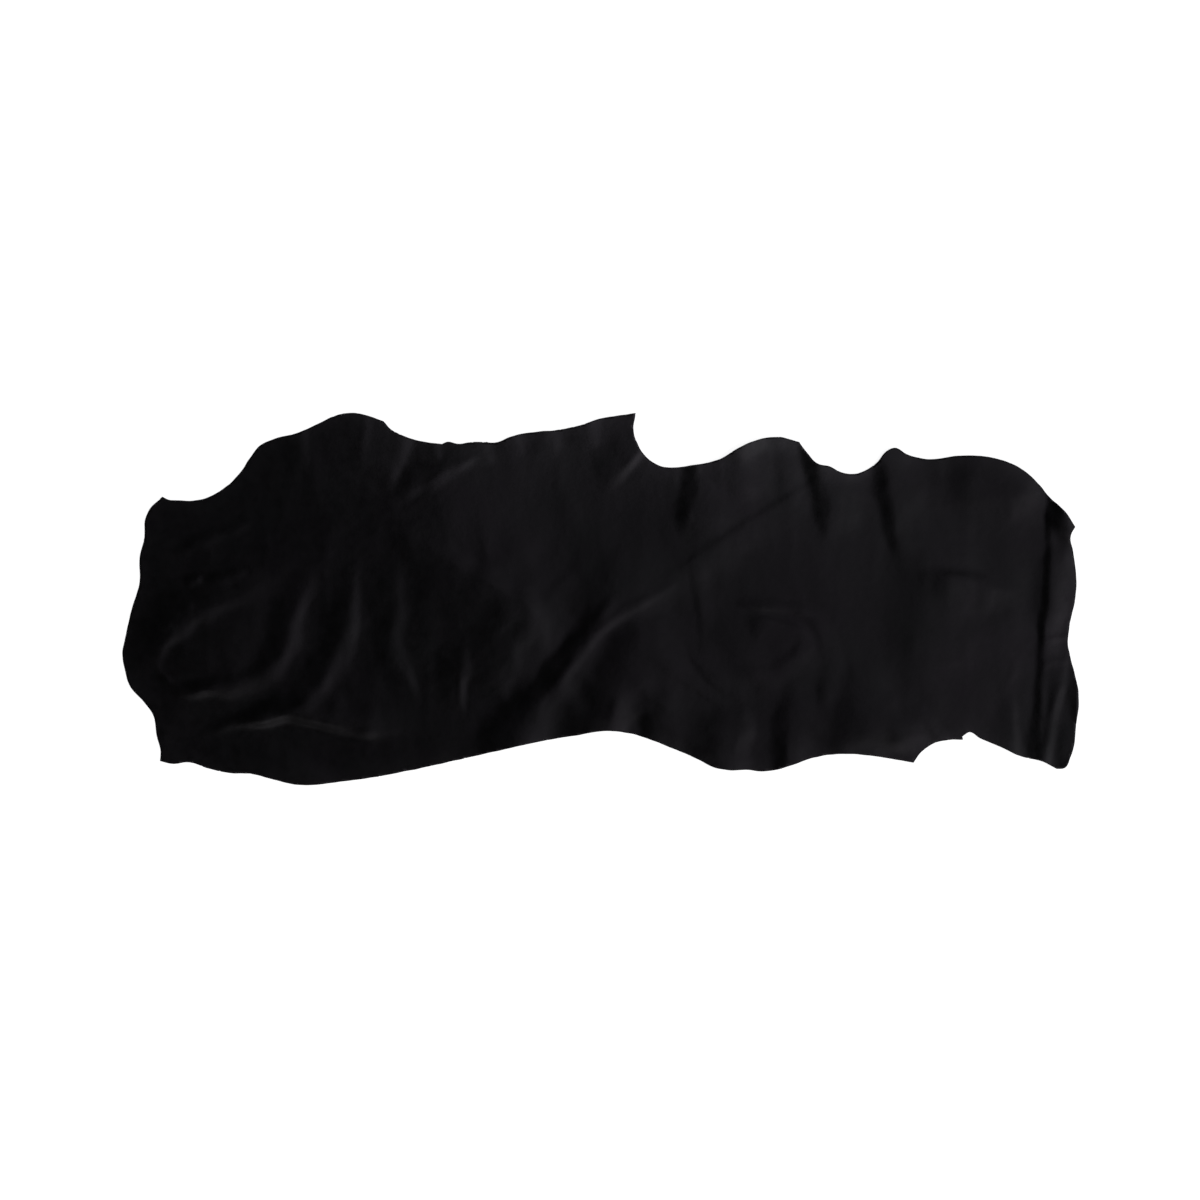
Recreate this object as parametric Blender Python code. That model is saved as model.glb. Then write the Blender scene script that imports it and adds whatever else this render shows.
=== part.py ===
"""A black leather side: half a cow hide, laid out grain side up on a level surface.

It is one sheet, 2 mm thick. It lies flat where nothing lifts it, and its folds stand up from
the surface as low hollow ridges. Metres, +Z up. +X runs along the hide and +Y across it, and
the origin is under the middle of the hide's box.
"""
import math
from collections import namedtuple

import bmesh
import bpy
import numpy as np
from mathutils import Vector
from mathutils.geometry import delaunay_2d_cdt, interpolate_bezier

# Driving dimensions, in metres.
THICKNESS = 0.002
EDGE_STEP = 0.020          # between points along the outline
FOLD_STEP = 0.022          # between points along a fold
FLANK_STEP = 0.020         # between rows of points down a fold's flank
FLANK_ROWS = 3             # the most rows down one flank
FLAT_STEP = 0.070          # between points where the sheet lies flat
CLEAR_OF_EDGE = 0.011      # least distance from an inner point to the outline
CLEAR_OF_POINT = 0.0140    # least distance between two inner points
CENTIMETRE = 0.01
MILLIMETRE = 0.001
FADE_SHARE = 0.32          # share of a fold's length over which it fades out
FADED_WIDTH = 0.55         # how wide a fold still is where it has faded out
FLANK_TOE = 1.2            # how far a flank's soft toe runs, as a share of its width
CUBIC_HANDLE = 0.36        # length of a curve's handle, as a share of its piece
WELD = 1e-6                # points of the plan nearer than this are one point
INSIDE_ONLY = 1            # the kind of triangulation that keeps to the inside of the outline

LEATHER_COLOUR = (0.0065, 0.006, 0.007, 1.0)
LEATHER_ROUGHNESS = 0.5

# The outline, clockwise from the tip at the far left. Each run is a smooth curve through its
# points, (along x, across y) in centimetres, and two runs meet in a corner.
OUTLINE = {
    "far left": [
        (-105.1, 24.5), (-103.8, 23.8), (-101.9, 23.7), (-97.3, 23.6), (-93.5, 24.7), (-89.9, 26.9),
        (-86.8, 29.9), (-84.1, 33.8), (-81.5, 37.0), (-78.6, 38.3), (-71.9, 40.1), (-67.1, 42.4),
        (-63.5, 44.0), (-59.9, 44.6), (-55.1, 43.7), (-52.1, 42.6)],
    "far hollow": [
        (-52.1, 42.6), (-50.3, 40.7), (-46.7, 38.9), (-39.7, 37.3), (-38.0, 37.1)],
    "far middle": [
        (-38.0, 37.1), (-36.8, 37.7), (-34.2, 37.2), (-31.1, 37.6), (-24.1, 37.8), (-21.5, 38.9),
        (-16.2, 40.0), (-10.7, 40.5), (-4.7, 41.7), (-0.4, 43.2), (3.0, 43.8), (8.4, 44.6)],
    "far notch": [
        (8.4, 44.6), (7.9, 40.4), (8.8, 37.3), (10.9, 34.1), (14.0, 32.0), (18.1, 31.5), (21.7, 32.0),
        (28.0, 33.3), (33.2, 36.2), (37.3, 38.0), (42.4, 38.8), (47.6, 37.6)],
    "far right": [
        (47.6, 37.6), (49.6, 34.8), (52.2, 32.2), (54.6, 31.8), (58.4, 30.1), (63.2, 30.6),
        (65.9, 32.4), (68.5, 35.4), (70.2, 36.2), (73.3, 34.7), (79.3, 33.5), (84.8, 34.2),
        (90.1, 34.3), (96.1, 33.2), (100.9, 31.1), (104.5, 28.1), (108.1, 23.9), (111.0, 20.8),
        (113.5, 17.2)],
    "right end": [
        (113.5, 17.2), (112.5, 15.2), (113.2, 11.4), (114.1, 5.6), (113.9, 0.4), (112.6, -5.9),
        (112.1, -10.9), (112.9, -15.0), (114.1, -20.8), (114.4, -24.4), (113.8, -30.1),
        (112.4, -37.8), (111.0, -40.5), (109.2, -40.7)],
    "near right": [
        (109.2, -40.7), (106.0, -39.0), (100.9, -37.8), (96.1, -35.6), (91.1, -33.5), (88.4, -32.0),
        (86.8, -33.0)],
    "near nick": [
        (86.8, -33.0), (86.9, -33.8)],
    "near step": [
        (86.9, -33.8), (83.6, -33.8), (79.8, -34.7), (76.9, -36.7), (75.0, -39.3)],
    "near middle and left": [
        (75.0, -39.3), (70.9, -38.6), (64.9, -37.6), (60.8, -37.2), (51.0, -38.1), (45.0, -40.1),
        (39.7, -41.4), (34.9, -41.0), (30.6, -41.0), (27.2, -40.4), (23.4, -38.5), (17.6, -36.0),
        (12.1, -33.8), (5.6, -32.0), (1.6, -31.6), (-5.2, -32.6), (-16.7, -34.6), (-24.6, -36.4),
        (-35.9, -39.0), (-47.9, -41.6), (-61.1, -43.7), (-73.8, -44.4), (-79.1, -43.1),
        (-83.4, -42.0), (-88.7, -41.8), (-94.0, -40.7), (-99.0, -39.2), (-102.6, -39.6),
        (-105.7, -38.9)],
    "left end": [
        (-105.7, -38.9), (-105.5, -36.8), (-106.4, -33.0), (-107.4, -27.7), (-109.6, -24.6),
        (-112.7, -21.1), (-114.1, -16.9), (-114.7, -13.1), (-113.9, -8.8), (-112.4, -2.3),
        (-110.5, 4.4), (-110.6, 9.2), (-109.3, 15.5), (-109.3, 18.6), (-108.2, 21.4),
        (-106.2, 23.5), (-105.1, 24.5)],
}

# A fold's crest runs along its spine. left and right are the widths of its two flanks, seen by
# someone who walks along the spine, and height is the crest's. Each is one number, or several
# that are spaced evenly along the fold. A fold fades out at both ends, at one of them, or at
# neither where it runs off the sheet. Centimetres, but height in mm.
Fold = namedtuple("Fold", "left right height fades spine")
FOLDS = {
    "pillow brow": Fold(
        (8, 9, 9), (3, 3, 4.5), (6, 8.5, 7.5, 4, 1.6, 0.8), "both", [(-107.5, -20), (-106, -13.5),
            (-102, -7.5), (-95, -2.5), (-88, 0.5), (-81, 4.5), (-69.5, 13)]),
    "first ripple": Fold(
        (2, 2.4, 3.4, 4), (2.6, 3, 3.4, 3), (6, 8.5, 8.5, 6.5, 6.5, 6.5, 5, 2),
        "both", [(-107.5, -13.5), (-105, -18), (-100.5, -21.5), (-94.5, -21.5), (-88, -21),
            (-83, -19), (-78.5, -15.5), (-75.5, -10.5), (-74, -5), (-72, 0.5), (-70, 5),
            (-64.5, 11.5)]),
    "second ripple": Fold(
        (3.2, 3.2, 2.4), (5, 5, 4.6), (4, 6, 6.5, 6.5, 5.5, 4, 2.5, 1.5), "both", [(-58, 13),
            (-59.5, 2), (-60.5, -5), (-62.5, -12), (-65, -16.5), (-68, -21), (-71, -24),
            (-75.5, -27), (-84, -28), (-94.5, -30.5)]),
    "third ripple": Fold(
        (2.4, 2.2), (6, 5), (1.5, 2.2, 3.6, 4, 3.8), "both", [(-48.5, 11.5), (-49, -0.5),
            (-49.5, -7.5), (-49.5, -13), (-47, -17.5), (-45, -21.5), (-43, -27)]),
    "fourth ripple": Fold(
        (2.6, 2.4), (8, 7), 3.4, "both", [(-32.5, -10), (-33.5, -16), (-34, -22), (-33, -29)]),
    "fifth ripple": Fold(
        (3, 3.6), 12, 4.6, "both", [(-15.5, -4), (-20.5, -11), (-23, -17), (-24.5, -27)]),
    "diagonal swell": Fold(
        (30, 26, 12), (30, 24, 16), 13, "both", [(-45.5, 31), (-38.5, 18.5), (-30.5, 9), (-22, -1),
            (-13.5, -12), (-5, -24)]),
    "shoulder": Fold(
        (6, 5, 4.5), (20, 18), (4, 6, 8.5), "both", [(-49, 18.5), (-38.5, 12.5), (-30, 7.5),
            (-23, 2), (-18.5, -2.5), (-13.5, -16)]),
    "low crease": Fold(
        (4, 4, 6, 8, 8), (2.6, 2.4, 2.6), (2, 6, 10, 11, 11, 10, 8, 5, 2), "both", [(-102, -32.5),
            (-94.5, -31.5), (-87.5, -29.5), (-80, -28.5), (-75, -27), (-69.5, -28), (-64.5, -29.5),
            (-58.5, -30.5), (-48, -31), (-33.5, -30)]),
    "deep fold": Fold(
        (6, 10, 12), (2.6, 4.6, 8), (10, 12, 14), "start", [(1.5, 0.5), (-3.5, -6.5), (-8.5, -12.5),
            (-12.5, -17.5), (-16, -23), (-18.5, -27), (-19.5, -31.5), (-20, -42.5)]),
    "long fold": Fold(
        (16, 12, 4.4), (17, 12), 8, "both", [(42, 24.5), (31.5, 17), (23, 11.5), (15, 6.5),
            (9, 2.5), (3, -2.5), (-3, -8.5)]),
    "middle swell": Fold(
        (32, 30, 18, 6), 13, (7, 13, 14, 13), "start", [(21, 3.5), (11.5, -9), (4.5, -20.5),
            (-2, -36.5)]),
    "middle lip": Fold(
        (7, 8), 3.8, 4, "start", [(11.5, -16.5), (12.5, -25.5), (13, -36.5)]),
    "tab fold": Fold(
        (2.8, 2.6), (15, 14), (6, 6, 4.5), "end", [(14, 41.5), (10.5, 37), (7.5, 33.5), (4.5, 30.5),
            (0, 25)]),
    "notch fold": Fold(
        (15, 13), 5, (8, 7.5, 6), "end", [(25.5, 38), (23.5, 29.5), (21.5, 23.5), (21, 19),
            (20.5, 13)]),
    "lobe swell": Fold(
        (12, 10), (10, 8), 7.5, "end", [(34, 41.5), (34.5, 32), (34, 22.5)]),
    "left bay fold": Fold(
        10, (4.4, 4), (10, 8, 5), "end", [(50.5, 38), (52, 31), (54, 25), (54.5, 20), (54.5, 13)]),
    "right bay fold": Fold(
        8, 4.6, (8.5, 7.5, 4.5), "end", [(68, 40.5), (69, 30.5), (71, 22.5), (71.5, 16.5),
            (72, 7)]),
    "corner swell": Fold(
        (6, 8), 14, 7, "both", [(97, 38), (98.5, 28.5), (99.5, 17)]),
    "corner drop": Fold(
        (7, 6, 3), (18, 18, 9), (6, 11, 12, 8), "both", [(86.5, 45), (96, 33), (99.5, 28.5),
            (102.5, 26), (105.5, 23.5)]),
    "end step": Fold(
        (14, 12, 6, 4, 5, 8, 12, 14), (1.5, 1.6, 1.9, 2.1, 2.5, 3), (1.5, 4.4, 5, 5, 5, 5.5, 7, 8),
        "neither", [(108.5, 31), (108, 23.5), (108, 14), (107.5, 2), (106.5, -10), (106, -22),
            (105, -34), (105, -45)]),
    "end swell": Fold(
        5, 6, 5, "both", [(111, 15), (109.5, 8), (108.5, 1), (107.5, -9.5)]),
    "far end curl": Fold(
        8, (4.4, 4.4, 5), (14, 18, 18, 15, 8), "both", [(111, 38), (111.5, 28.5), (112, 22.5),
            (112.5, 16.5), (114, 9)]),
    "near end roll": Fold(
        (1.3, 1.5), (4.5, 2.4, 1.8), (3, 3.5, 3.5), "start", [(113.5, -10), (111, -17.5),
            (109, -24.5), (107.5, -32), (105.5, -45)]),
    "near end curl": Fold(
        (6, 7), (10, 9, 7), 14, "start", [(117.5, -10), (119, -23), (118, -34), (114, -48.5)]),
    "near bay, first": Fold(
        (9, 8), (6.5, 6), 7, "end", [(32.5, -48.5), (33, -37.5), (34, -31), (35.5, -24.5)]),
    "near bay, second": Fold(
        (3.2, 4.6), 7, (8.5, 8, 4.5), "end", [(44, -48.5), (44, -36.5), (45, -28), (47.5, -17.5)]),
    "near bay, third": Fold(
        (8, 7), (12, 11), 4.5, "end", [(62, -45), (62, -33), (62.5, -24.5), (65, -13.5)]),
    "broad swell": Fold(
        15, 13, 7.5, "both", [(80, 23.5), (80, -0.5), (78.5, -24.5)]),
}


def clear_scene():
    for item in list(bpy.data.objects):
        bpy.data.objects.remove(item, do_unlink=True)


def black_leather():
    """The one material, a black grain leather with a soft sheen."""
    material = bpy.data.materials.new("black leather")
    material.use_nodes = True
    shader = material.node_tree.nodes["Principled BSDF"]
    shader.inputs["Base Color"].default_value = LEATHER_COLOUR
    shader.inputs["Roughness"].default_value = LEATHER_ROUGHNESS
    shader.inputs["Metallic"].default_value = 0.0
    return material


def tangent(before, here, after):
    """The direction of a smooth curve at a point between two others."""
    back = here - before
    ahead = after - here
    return (back.normalized() * ahead.length + ahead.normalized() * back.length).normalized()


def smooth_run(points, step):
    """Points about a step apart on the smooth curve through the given ones, ends included."""
    knots = [Vector((x, y, 0)) for x, y in points]
    headings = [tangent(*knots[i - 1:i + 2]) for i in range(1, len(knots) - 1)]
    headings.insert(0, (knots[1] - knots[0]).normalized())
    headings.append((knots[-1] - knots[-2]).normalized())
    run = [knots[0]]
    for i in range(len(knots) - 1):
        length = (knots[i + 1] - knots[i]).length
        handle = CUBIC_HANDLE * length
        count = max(1, round(length / step))
        piece = interpolate_bezier(
            knots[i], knots[i] + handle * headings[i],
            knots[i + 1] - handle * headings[i + 1], knots[i + 1], count + 1)
        run.extend(piece[1:])
    return np.array([point[:2] for point in run])


def outline_points():
    """The closed outline in metres, around the middle of its own box."""
    runs = []
    for points in OUTLINE.values():
        metres = [(x * CENTIMETRE, y * CENTIMETRE) for x, y in points]
        runs.append(smooth_run(metres, EDGE_STEP)[:-1])
    outline = np.concatenate(runs)
    middle = (outline.min(axis=0) + outline.max(axis=0)) / 2
    return outline - middle


def fold_spine(fold):
    """A fold's crest line in metres, as points on a smooth curve."""
    return smooth_run([(x * CENTIMETRE, y * CENTIMETRE) for x, y in fold.spine], FOLD_STEP)


def nearest_on_line(points, line):
    """For each point, its distance to a line, its side of it and how far along it lies."""
    start = line[:-1]
    piece = line[1:] - start
    length = np.linalg.norm(piece, axis=1)
    offset = points[:, None, :] - start[None, :, :]
    share = np.clip((offset * piece).sum(axis=2) / length ** 2, 0, 1)
    away = np.linalg.norm(offset - share[:, :, None] * piece, axis=2)
    best = away.argmin(axis=1)
    rows = np.arange(len(points))
    cross = piece[best, 0] * offset[rows, best, 1] - piece[best, 1] * offset[rows, best, 0]
    walked = np.concatenate([[0], np.cumsum(length)])
    along = (walked[best] + share[rows, best] * length[best]) / walked[-1]
    return away[rows, best], cross > 0, along


def smooth_step(share):
    share = np.clip(share, 0, 1)
    return share * share * (3 - 2 * share)


def spread(values, along):
    """One value, or several that are spaced evenly along a fold, at each share of its length."""
    values = np.atleast_1d(values)
    return np.interp(along, np.linspace(0, 1, len(values)), values)


def fold_height(points, fold):
    """How far one fold lifts the sheet at each point."""
    distance, on_left, along = nearest_on_line(points, fold_spine(fold))
    fade = np.ones(len(along))
    if fold.fades in ("both", "start"):
        fade = fade * smooth_step(along / FADE_SHARE)
    if fold.fades in ("both", "end"):
        fade = fade * smooth_step((1 - along) / FADE_SHARE)
    width = np.where(on_left, spread(fold.left, along), spread(fold.right, along)) * CENTIMETRE
    width = width * (FADED_WIDTH + (1 - FADED_WIDTH) * fade)
    fall = np.clip(distance / (FLANK_TOE * width), 0, 1)
    return spread(fold.height, along) * MILLIMETRE * fade * (1 - fall ** 2) ** 3


def lift(points):
    """The height of the sheet's underside above the surface it lies on."""
    return sum(fold_height(points, fold) for fold in FOLDS.values())


def fold_rows(fold):
    """Points along a fold's crest and in rows down its flanks."""
    spine = fold_spine(fold)
    heading = np.gradient(spine, axis=0)
    heading /= np.linalg.norm(heading, axis=1)[:, None]
    to_left = np.column_stack([-heading[:, 1], heading[:, 0]])
    along = np.linspace(0, 1, len(spine))
    yield spine
    for widths, side in ((fold.left, to_left), (fold.right, -to_left)):
        width = spread(widths, along) * CENTIMETRE
        rows = min(FLANK_ROWS, max(1, round(width.mean() / FLANK_STEP)))
        for row in range(1, rows + 1):
            yield spine + side * width[:, None] * row / rows


def flat_grid(outline):
    """A wide staggered grid over the whole box of the sheet."""
    low = outline.min(axis=0)
    high = outline.max(axis=0)
    across = FLAT_STEP * math.sqrt(3) / 2
    for row in range(int((high[1] - low[1]) / across) + 1):
        start = low[0] + FLAT_STEP / 2 * (row % 2)
        along = np.arange(start, high[0], FLAT_STEP)
        yield np.column_stack([along, np.full(len(along), low[1] + row * across)])


def inside(points, outline):
    """Which points lie inside the outline, by counting the edges that a ray crosses."""
    start = outline
    end = np.roll(outline, -1, axis=0)
    spans = (start[None, :, 1] > points[:, None, 1]) != (end[None, :, 1] > points[:, None, 1])
    rise = np.where(end[:, 1] == start[:, 1], 1.0, end[:, 1] - start[:, 1])
    crossing = start[:, 0] + (points[:, None, 1] - start[:, 1]) * (end[:, 0] - start[:, 0]) / rise
    return (spans & (points[:, None, 0] < crossing)).sum(axis=1) % 2 == 1


def inner_points(outline):
    """The points inside the outline that carry the folds, close on folds and wide elsewhere."""
    rows = [row for fold in FOLDS.values() for row in fold_rows(fold)]
    rows.extend(flat_grid(outline))
    wanted = np.concatenate(rows)
    wanted = wanted[inside(wanted, outline)]
    rim = np.vstack([outline, outline[:1]])
    wanted = wanted[nearest_on_line(wanted, rim)[0] > CLEAR_OF_EDGE]
    kept = np.empty((0, 2))
    for point in wanted:
        if len(kept) == 0 or np.linalg.norm(kept - point, axis=1).min() > CLEAR_OF_POINT:
            kept = np.vstack([kept, point])
    return kept


def hide(material):
    """The whole side: the outline filled with triangles, lifted into its folds and thickened."""
    outline = outline_points()
    plan = np.vstack([outline, inner_points(outline)])
    flat = [Vector(point) for point in plan]
    boundary = list(range(len(outline)))[::-1]
    corners, _, triangles, *_ = delaunay_2d_cdt(flat, [], [boundary], INSIDE_ONLY, WELD)
    heights = lift(np.array([corner[:] for corner in corners]))
    shape = bmesh.new()
    points = [shape.verts.new((*corner, height)) for corner, height in zip(corners, heights)]
    for triangle in triangles:
        shape.faces.new([points[i] for i in triangle])
    loose = [point for point in shape.verts if not point.link_faces]
    bmesh.ops.delete(shape, geom=loose, context="VERTS")
    bmesh.ops.recalc_face_normals(shape, faces=shape.faces)
    if sum(face.normal.z for face in shape.faces) < 0:
        bmesh.ops.reverse_faces(shape, faces=shape.faces)
    mesh = bpy.data.meshes.new("hide")
    shape.to_mesh(mesh)
    shape.free()
    mesh.materials.append(material)
    mesh.shade_smooth()
    sheet = bpy.data.objects.new("hide", mesh)
    bpy.context.collection.objects.link(sheet)
    wall = sheet.modifiers.new("thickness", "SOLIDIFY")
    wall.thickness = THICKNESS
    wall.offset = 1.0
    return sheet


def main():
    clear_scene()
    hide(black_leather())


if __name__ == "__main__":
    main()
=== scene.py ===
"""A black leather side, laid out grain side up on a pale studio floor."""
import math
from collections import namedtuple

import bmesh
import bpy
import numpy as np
from bpy.props import FloatProperty, FloatVectorProperty, PointerProperty
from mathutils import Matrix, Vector, kdtree, noise
from mathutils.geometry import interpolate_bezier


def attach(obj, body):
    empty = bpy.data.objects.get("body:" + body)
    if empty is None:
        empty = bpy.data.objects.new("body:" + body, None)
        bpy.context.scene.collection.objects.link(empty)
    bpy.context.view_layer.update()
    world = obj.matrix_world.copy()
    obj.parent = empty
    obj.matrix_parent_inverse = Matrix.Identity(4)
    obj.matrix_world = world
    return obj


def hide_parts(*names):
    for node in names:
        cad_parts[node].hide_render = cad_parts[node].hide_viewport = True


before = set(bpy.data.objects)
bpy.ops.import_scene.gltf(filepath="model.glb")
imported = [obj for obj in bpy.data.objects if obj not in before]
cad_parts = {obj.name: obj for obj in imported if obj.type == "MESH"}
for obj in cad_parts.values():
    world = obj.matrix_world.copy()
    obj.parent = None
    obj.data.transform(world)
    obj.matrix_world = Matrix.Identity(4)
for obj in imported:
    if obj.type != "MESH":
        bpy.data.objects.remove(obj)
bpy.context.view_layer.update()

bl_info = {
    "name": "Leather Side",
    "version": (1, 0, 0),
    "blender": (4, 5, 0),
    "location": "3D View > Sidebar > Hide",
    "description": "Lays out a black leather side with its folds in a plain studio",
    "category": "Add Mesh",
}

CENTIMETRE = 0.01
MILLIMETRE = 0.001

# ---------------------------------------------------------------------------------------------
# The cut of the hide
# ---------------------------------------------------------------------------------------------

# The outline, clockwise from the tip at the far left. Each run is a smooth curve through its
# points, (along x, across y) in centimetres, and two runs meet in a corner.
OUTLINE = {
    "far left": [
        (-105.1, 24.5), (-103.8, 23.8), (-101.9, 23.7), (-97.3, 23.6), (-93.5, 24.7), (-89.9, 26.9),
        (-86.8, 29.9), (-84.1, 33.8), (-81.5, 37.0), (-78.6, 38.3), (-71.9, 40.1), (-67.1, 42.4),
        (-63.5, 44.0), (-59.9, 44.6), (-55.1, 43.7), (-52.1, 42.6)],
    "far hollow": [
        (-52.1, 42.6), (-50.3, 40.7), (-46.7, 38.9), (-39.7, 37.3), (-38.0, 37.1)],
    "far middle": [
        (-38.0, 37.1), (-36.8, 37.7), (-34.2, 37.2), (-31.1, 37.6), (-24.1, 37.8), (-21.5, 38.9),
        (-16.2, 40.0), (-10.7, 40.5), (-4.7, 41.7), (-0.4, 43.2), (3.0, 43.8), (8.4, 44.6)],
    "far notch": [
        (8.4, 44.6), (7.9, 40.4), (8.8, 37.3), (10.9, 34.1), (14.0, 32.0), (18.1, 31.5),
        (21.7, 32.0), (28.0, 33.3), (33.2, 36.2), (37.3, 38.0), (42.4, 38.8), (47.6, 37.6)],
    "far right": [
        (47.6, 37.6), (49.6, 34.8), (52.2, 32.2), (54.6, 31.8), (58.4, 30.1), (63.2, 30.6),
        (65.9, 32.4), (68.5, 35.4), (70.2, 36.2), (73.3, 34.7), (79.3, 33.5), (84.8, 34.2),
        (90.1, 34.3), (96.1, 33.2), (100.9, 31.1), (104.5, 28.1), (108.1, 23.9), (111.0, 20.8),
        (113.5, 17.2)],
    "right end": [
        (113.5, 17.2), (112.5, 15.2), (113.2, 11.4), (114.1, 5.6), (113.9, 0.4), (112.6, -5.9),
        (112.1, -10.9), (112.9, -15.0), (114.1, -20.8), (114.4, -24.4), (113.8, -30.1),
        (112.4, -37.8), (111.0, -40.5), (109.2, -40.7)],
    "near right": [
        (109.2, -40.7), (106.0, -39.0), (100.9, -37.8), (96.1, -35.6), (91.1, -33.5), (88.4, -32.0),
        (86.8, -33.0)],
    "near nick": [
        (86.8, -33.0), (86.9, -33.8)],
    "near step": [
        (86.9, -33.8), (83.6, -33.8), (79.8, -34.7), (76.9, -36.7), (75.0, -39.3)],
    "near middle and left": [
        (75.0, -39.3), (70.9, -38.6), (64.9, -37.6), (60.8, -37.2), (51.0, -38.1), (45.0, -40.1),
        (39.7, -41.4), (34.9, -41.0), (30.6, -41.0), (27.2, -40.4), (23.4, -38.5), (17.6, -36.0),
        (12.1, -33.8), (5.6, -32.0), (1.6, -31.6), (-5.2, -32.6), (-16.7, -34.6), (-24.6, -36.4),
        (-35.9, -39.0), (-47.9, -41.6), (-61.1, -43.7), (-73.8, -44.4), (-79.1, -43.1),
        (-83.4, -42.0), (-88.7, -41.8), (-94.0, -40.7), (-99.0, -39.2), (-102.6, -39.6),
        (-105.7, -38.9)],
    "left end": [
        (-105.7, -38.9), (-105.5, -36.8), (-106.4, -33.0), (-107.4, -27.7), (-109.6, -24.6),
        (-112.7, -21.1), (-114.1, -16.9), (-114.7, -13.1), (-113.9, -8.8), (-112.4, -2.3),
        (-110.5, 4.4), (-110.6, 9.2), (-109.3, 15.5), (-109.3, 18.6), (-108.2, 21.4),
        (-106.2, 23.5), (-105.1, 24.5)],
}
CUBIC_HANDLE = 0.36        # length of a curve's handle, as a share of its piece

# ---------------------------------------------------------------------------------------------
# The folds
# ---------------------------------------------------------------------------------------------

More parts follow.
